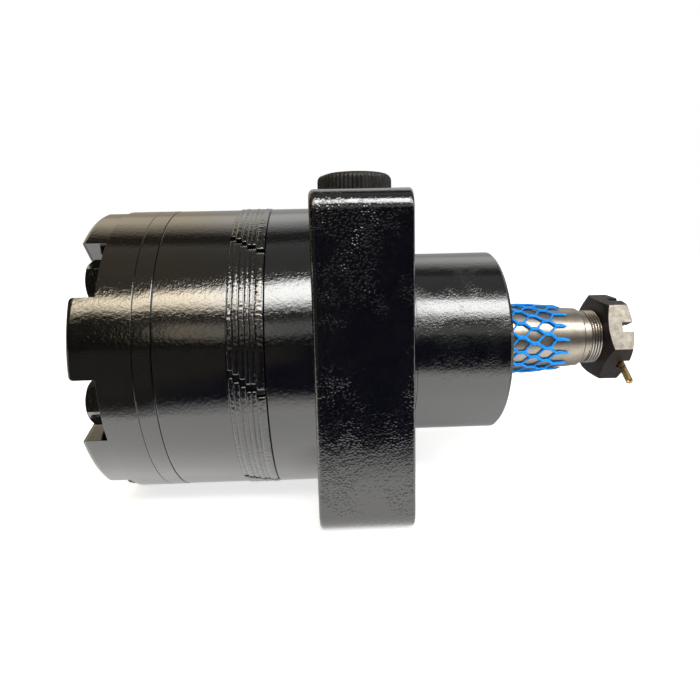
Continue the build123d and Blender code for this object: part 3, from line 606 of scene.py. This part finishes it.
def plate_rims():
    """The plates' sheared edges under thick paint, one band between each pair of edge notches."""
    bolt_step = 360 / BOLT_COUNT
    for number, lead in enumerate(NOTCH_LEADS, start=1):
        node = f"manifold_plate_{number}"
        low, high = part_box(node)
        crown = (high.z - low.z) / 2 + RIM_PROUD
        rough = END_PLATE_ROUGH if number in (1, len(NOTCH_LEADS)) else PLATE_ROUGH
        rim = ([], [])
        per_band = RIM_STEPS // BOLT_COUNT
        for bolt in range(BOLT_COUNT):
            first = 90 - lead + bolt * bolt_step + NOTCH_HALF_ANGLE
            last = first + bolt_step - 2 * NOTCH_HALF_ANGLE
            points, faces = [], []
            rows = len(RIM_SECTION)
            for step in range(per_band + 1):
                turn = math.radians(first + (last - first) * step / per_band)
                ends = RIM_END_DROP * (1 - step_between(min(step, per_band - step), 0, 2))
                outward = Vector((0, math.cos(turn), math.sin(turn)))
                for share, drop in RIM_SECTION:
                    inner = 0 < share < 1
                    spot = outward * 55 + Vector((share * 3 + number * 5, 0, 0))
                    lump = noise.noise(spot) + 0.6 * noise.noise(spot * 2.3)
                    edge = RIM_WAVER * noise.noise(spot * 1.7 + Vector((0, 0, 9))) if inner else 0
                    reach = crown - drop * MM - ends + rough * (lump - 0.5) * (1 if inner else 0.2)
                    station = low.x + (high.x - low.x) * share + edge
                    points.append(outward * reach + Vector((station, 0, 0)))
                if step:
                    base = (step - 1) * rows
                    for row in range(rows - 1):
                        here, there = base + row, base + row + rows
                        faces.append((here, here + 1, there + 1, there))
            for step in (0, per_band):
                cap = [step * rows + row for row in range(rows)]
                faces.append(tuple(cap) if step else tuple(reversed(cap)))
            add(rim, (points, faces))
        mesh_piece(f"plate_rim_{number}", *rim, PLATE_FINISH, "casing", "black_enamel")


# --- Port plugs ---------------------------------------------------------------------------------
PLUG_RIBS = 56
PLUG_STEPS_PER_RIB = 8
PLUG_RIB_HEIGHT = 0.6 * MM
PLUG_RIM_BOTTOM = 64.45 * MM
PLUG_TOP_WAVE = 0.5 * MM       # how unevenly the top edge is pressed


def port_plug(name, node, body, seed):
    """A pressed plastic cap: knurled rim, rounded top edge and a shallow dished top."""
    low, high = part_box(node)
    centre_x, centre_y = (low.x + high.x) / 2, (low.y + high.y) / 2
    radius = (high.x - low.x) / 2
    rim_low = PLUG_RIM_BOTTOM
    top = high.z
    around_count = PLUG_RIBS * PLUG_STEPS_PER_RIB
    # radius, height, share of the knurl
    stem = [
        (11.8 * MM, low.z + 0.05 * MM, 0.0), (11.8 * MM, rim_low - 0.1 * MM, 0.0), (12.2 * MM, rim_low, 0.0),
    ]
    knurled_side = [
        (radius - 0.55 * MM, rim_low, 0.0), (radius - 0.1 * MM, rim_low + 0.3 * MM, 0.5),
        (radius, rim_low + 0.9 * MM, 1.0), (radius, rim_low + 3.2 * MM, 1.0),
        (radius, rim_low + 5.6 * MM, 1.0), (radius, top - 3.1 * MM, 1.0),
    ]
    top_edge = [
        (radius - 0.03 * MM, top - 2.2 * MM, 0.9), (radius - 0.25 * MM, top - 1.3 * MM, 0.55),
        (radius - 0.75 * MM, top - 0.6 * MM, 0.25), (radius - 1.4 * MM, top - 0.18 * MM, 0.08),
        (radius - 2.1 * MM, top, 0.0),
    ]
    dished_top = [
        (12.5 * MM, top - 0.02 * MM, 0.0), (12.1 * MM, top - 0.25 * MM, 0.0),
        (11.8 * MM, top - 0.85 * MM, 0.0), (11.2 * MM, top - 1.0 * MM, 0.0),
        (6.0 * MM, top - 1.02 * MM, 0.0), (1.0 * MM, top - 1.0 * MM, 0.0),
    ]
    section = stem + knurled_side + top_edge + dished_top
    points, faces = [], []
    for reach, height, knurl in section:
        for step in range(around_count):
            turn = 2 * math.pi * step / around_count
            rib = 0.5 - 0.5 * math.cos(turn * PLUG_RIBS)
            worn = 0.75 + 0.5 * noise.noise(Vector((math.cos(turn) * 4, math.sin(turn) * 4, seed)))
            dip = PLUG_RIB_HEIGHT * knurl * (1 - rib ** 0.7) * worn
            wave = PLUG_TOP_WAVE * noise.noise(Vector((math.cos(turn) * 1.4, math.sin(turn) * 1.4, seed + 5)))
            lift = wave * step_between(height, top - 3 * MM, top)
            out = reach - dip
            spot = (centre_x + out * math.cos(turn), centre_y + out * math.sin(turn), height + min(lift, 0))
            points.append(spot)
    rings = len(section)
    for ring in range(rings - 1):
        for step in range(around_count):
            here, there = ring * around_count + step, ring * around_count + (step + 1) % around_count
            faces.append((here, there, there + around_count, here + around_count))
    faces.append(tuple(reversed(range(around_count))))
    faces.append(tuple((rings - 1) * around_count + step for step in range(around_count)))
    piece = mesh_piece(name, points, faces, FINISHES["plug_plastic"], body, "plug_plastic")
    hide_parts(node)
    return piece


# --- Stage --------------------------------------------------------------------------------------
FLOOR_REACH = 12.0
FLOOR_GLOW = 0.72
BACKDROP_RADIUS = 11.0
CARD_REACH = 3.0
CARD_LIFT = 0.3 * MM
REAR_CARD_GLOW = (0.095, 0.085, 0.07)
REAR_CARD_START = -0.06        # along X


def glowing(name, colour, glow, emission, roughness=1.0, specular=0.0):
    look = Finish(name, colour, roughness, specular=specular)
    look.set("Emission Color", (*emission, 1.0))
    look.set("Emission Strength", glow)
    return look


def stage_piece(name, mesh, material, unseen=()):
    """Puts a mesh on the stage, hidden from the kinds of ray listed."""
    mesh.materials.append(material)
    piece = bpy.data.objects.new(name, mesh)
    bpy.context.scene.collection.objects.link(piece)
    for ray in unseen:
        setattr(piece, f"visible_{ray}", False)


def flat_mesh(name, corners, faces):
    mesh = bpy.data.meshes.new(name)
    mesh.from_pydata(corners, [], faces)
    return mesh


def rectangle(reach, near, far, height):
    """Corners of a level rectangle, reach to each side and from near to far along Y."""
    return [(-reach, near, height), (reach, near, height), (reach, far, height), (-reach, far, height)]


def floor(height):
    corners = rectangle(FLOOR_REACH, -FLOOR_REACH, FLOOR_REACH, height)
    paper = glowing("floor_paper", (0.8, 0.8, 0.8), FLOOR_GLOW, (1.0, 1.0, 1.0), 0.6, 0.5)
    stage_piece("floor", flat_mesh("floor", corners, [(0, 1, 2, 3)]), paper.material)


def backdrop():
    """A white surround that only the camera sees, so that every view has a plain background."""
    dome = bmesh.new()
    bmesh.ops.create_icosphere(dome, subdivisions=4, radius=BACKDROP_RADIUS)
    mesh = bpy.data.meshes.new("backdrop")
    dome.to_mesh(mesh)
    dome.free()
    white = glowing("backdrop_white", (0.0, 0.0, 0.0), 1.0, (1.0, 1.0, 1.0))
    unseen = ("diffuse", "glossy", "transmission", "shadow", "volume_scatter")
    stage_piece("backdrop", mesh, white.material, unseen)


def reflected_card(name, mesh, glow, fade_from, fade_to, cover, rear_shift=0.0):
    """A dark card seen only in reflections, fading in between two places along Y."""
    look = glowing(name, (0.0, 0.0, 0.0), 1.0, glow)
    # towards the motor's rear a shifted card starts nearer the object and is a warmer, paler grey
    behind = look.math("MAXIMUM", look.math("SUBTRACT", REAR_CARD_START, look.axis("X")), 0)
    place = look.math("SUBTRACT", look.axis("Y"), look.math("MULTIPLY", behind, rear_shift))
    look.feed("Alpha", look.fit(place, fade_from, fade_to, 0.0, cover))
    if rear_shift:
        look.feed("Emission Color", look.mix(look.fit(behind, 0.03, 0.11), glow, REAR_CARD_GLOW))
    unseen = ("camera", "diffuse", "transmission", "shadow", "volume_scatter")
    stage_piece(name, mesh, look.material, unseen)


def front_card(floor_height):
    """Keeps the near side of the paint black between the floor and the lights."""
    near, full, far, top = -0.108, -0.172, -1.2, 0.17
    cover, rear_shift = 1.0, 0.42
    corners = rectangle(CARD_REACH, near, far, floor_height + CARD_LIFT)
    corners += [(CARD_REACH, far, top), (-CARD_REACH, far, top)]
    mesh = flat_mesh("front_card", corners, [(0, 1, 2, 3), (3, 2, 4, 5)])
    reflected_card("front_card", mesh, (0.018, 0.020, 0.042), near, full, cover, rear_shift)


def back_card(floor_height):
    """Dims the floor behind the object, which its underside reflects near the outline."""
    near, full, far = -0.055, 0.012, 2.0
    cover = 0.85
    mesh = flat_mesh("back_card", rectangle(CARD_REACH, near, far, floor_height + CARD_LIFT), [(0, 1, 2, 3)])
    reflected_card("back_card", mesh, (0.22, 0.22, 0.22), near, full, cover)


# --- Studio light -------------------------------------------------------------------------------
# The studio as the paint sees it: degrees up from the front horizon, over the top and down behind,
# and how bright it is there. The long softbox and the weak warm strip below it are added on top.
STUDIO_BANDS = [
    (-90, 0.3), (0, 0.03), (10, 0.03), (30, 0.06), (40, 0.12), (64, 0.22), (90, 0.24), (95, 0.30),
    (101, 0.05), (109, 0.06), (115, 0.38), (123, 0.74), (131, 1.0), (142, 0.80), (148, 0.42), (180, 0.30),
]
SOFTBOX_GLOW = 8.6
STRIP_GLOW = 0.5
STRIP_GAIN = 6.0               # how much stronger the strip gets towards the motor's rear
SOFTBOX_LOWER_EDGE = (33.5, 48.0)
SOFTBOX_UPPER_EDGE = (63.5, 56.5)
SOFTBOX_DROOP = 36             # degrees that the upper edge drops, for a full lean rearward
STRIP_LOWER_EDGE = (13, 18)
STRIP_UPPER_EDGE = (30, 24)
STRIP_END = (0.27, 0.19)       # lean rearward at which the strip stops
COOL_WHITE = (1.0, 1.0, 0.98)
WARM_WHITE = (1.0, 0.86, 0.64)


def studio_world():
    """Lights everything from a world of soft bands, banded by angle about the motor's axis."""
    world = bpy.data.worlds.new("studio")
    bpy.context.scene.world = world
    world.use_nodes = True
    sky = Nodes(world.node_tree, "Generated")
    background = world.node_tree.nodes["Background"]
    swing = sky.math("ARCTAN2", sky.axis("Z"), sky.math("MULTIPLY", sky.axis("Y"), -1))
    degrees = sky.math("MULTIPLY", swing, 180 / math.pi)
    # how far the direction leans towards the motor's rear, from 0 to about 0.2 in the main view
    rearward = sky.math("MAXIMUM", sky.math("SUBTRACT", -0.07, sky.axis("X")), 0)
    peak = max(brightness for _, brightness in STUDIO_BANDS)
    stops = [((angle + 90) / 270, (level / peak,) * 3) for angle, level in STUDIO_BANDS]
    bands = sky.math("MULTIPLY", sky.ramp(sky.fit(degrees, -90, 180, smooth=False), stops), peak)
    raised = sky.math("ADD", degrees, sky.math("MULTIPLY", rearward, SOFTBOX_DROOP))
    above_lower, below_upper = sky.fit(degrees, *SOFTBOX_LOWER_EDGE), sky.fit(raised, *SOFTBOX_UPPER_EDGE)
    softbox = sky.math("MULTIPLY", above_lower, below_upper)
    above_lower, below_upper = sky.fit(degrees, *STRIP_LOWER_EDGE), sky.fit(degrees, *STRIP_UPPER_EDGE)
    strip = sky.math("MULTIPLY", above_lower, below_upper)
    strip = sky.math("MULTIPLY", strip, sky.fit(rearward, *STRIP_END))
    stronger = sky.math("ADD", sky.math("MULTIPLY", rearward, STRIP_GAIN), 1.0)
    total = sky.math("ADD", bands, sky.math("MULTIPLY", softbox, SOFTBOX_GLOW))
    total = sky.math("ADD", total, sky.math("MULTIPLY", sky.math("MULTIPLY", strip, stronger), STRIP_GLOW))
    sides = sky.math("ABSOLUTE", sky.axis("X"))
    total = sky.math("MULTIPLY", total, sky.fit(sides, 0.55, 0.95, 1.0, 0.35))
    tint = sky.mix(sky.fit(rearward, 0.03, 0.2), COOL_WHITE, WARM_WHITE)
    sky.link(tint, background.inputs["Color"])
    sky.link(total, background.inputs["Strength"])


# --- Camera -------------------------------------------------------------------------------------
CAMERA_PLACE = Vector((-29.58, -257.15, 39.99)) * MM
CAMERA_RIGHT = Vector((0.99914, -0.03436, -0.02334))
CAMERA_UP = Vector((0.02871, 0.16536, 0.98581))
CAMERA_LENS = 27.97


def camera():
    data = bpy.data.cameras.new("camera")
    data.lens = CAMERA_LENS
    data.sensor_width = 36
    data.clip_start = 0.01
    shot = bpy.data.objects.new("camera", data)
    bpy.context.scene.collection.objects.link(shot)
    back = CAMERA_RIGHT.cross(CAMERA_UP)
    turn = Matrix((CAMERA_RIGHT, CAMERA_UP, back)).transposed()
    shot.matrix_world = Matrix.Translation(CAMERA_PLACE) @ turn.to_4x4()
    bpy.context.scene.camera = shot


for node, width in ROUNDED_NODES.items():
    rounded_edges(node, width)
camera()
shaft_net()
shaft_thread()
plate_rims()
port_plug("port_plug_near_knurled", "port_plug_near", "plug_near", 1.0)
port_plug("port_plug_far_knurled", "port_plug_far", "plug_far", 9.0)
studio_world()
floor(CAD_BOX[0].z)
backdrop()
front_card(CAD_BOX[0].z)
back_card(CAD_BOX[0].z)
bpy.context.scene.view_settings.view_transform = "Standard"
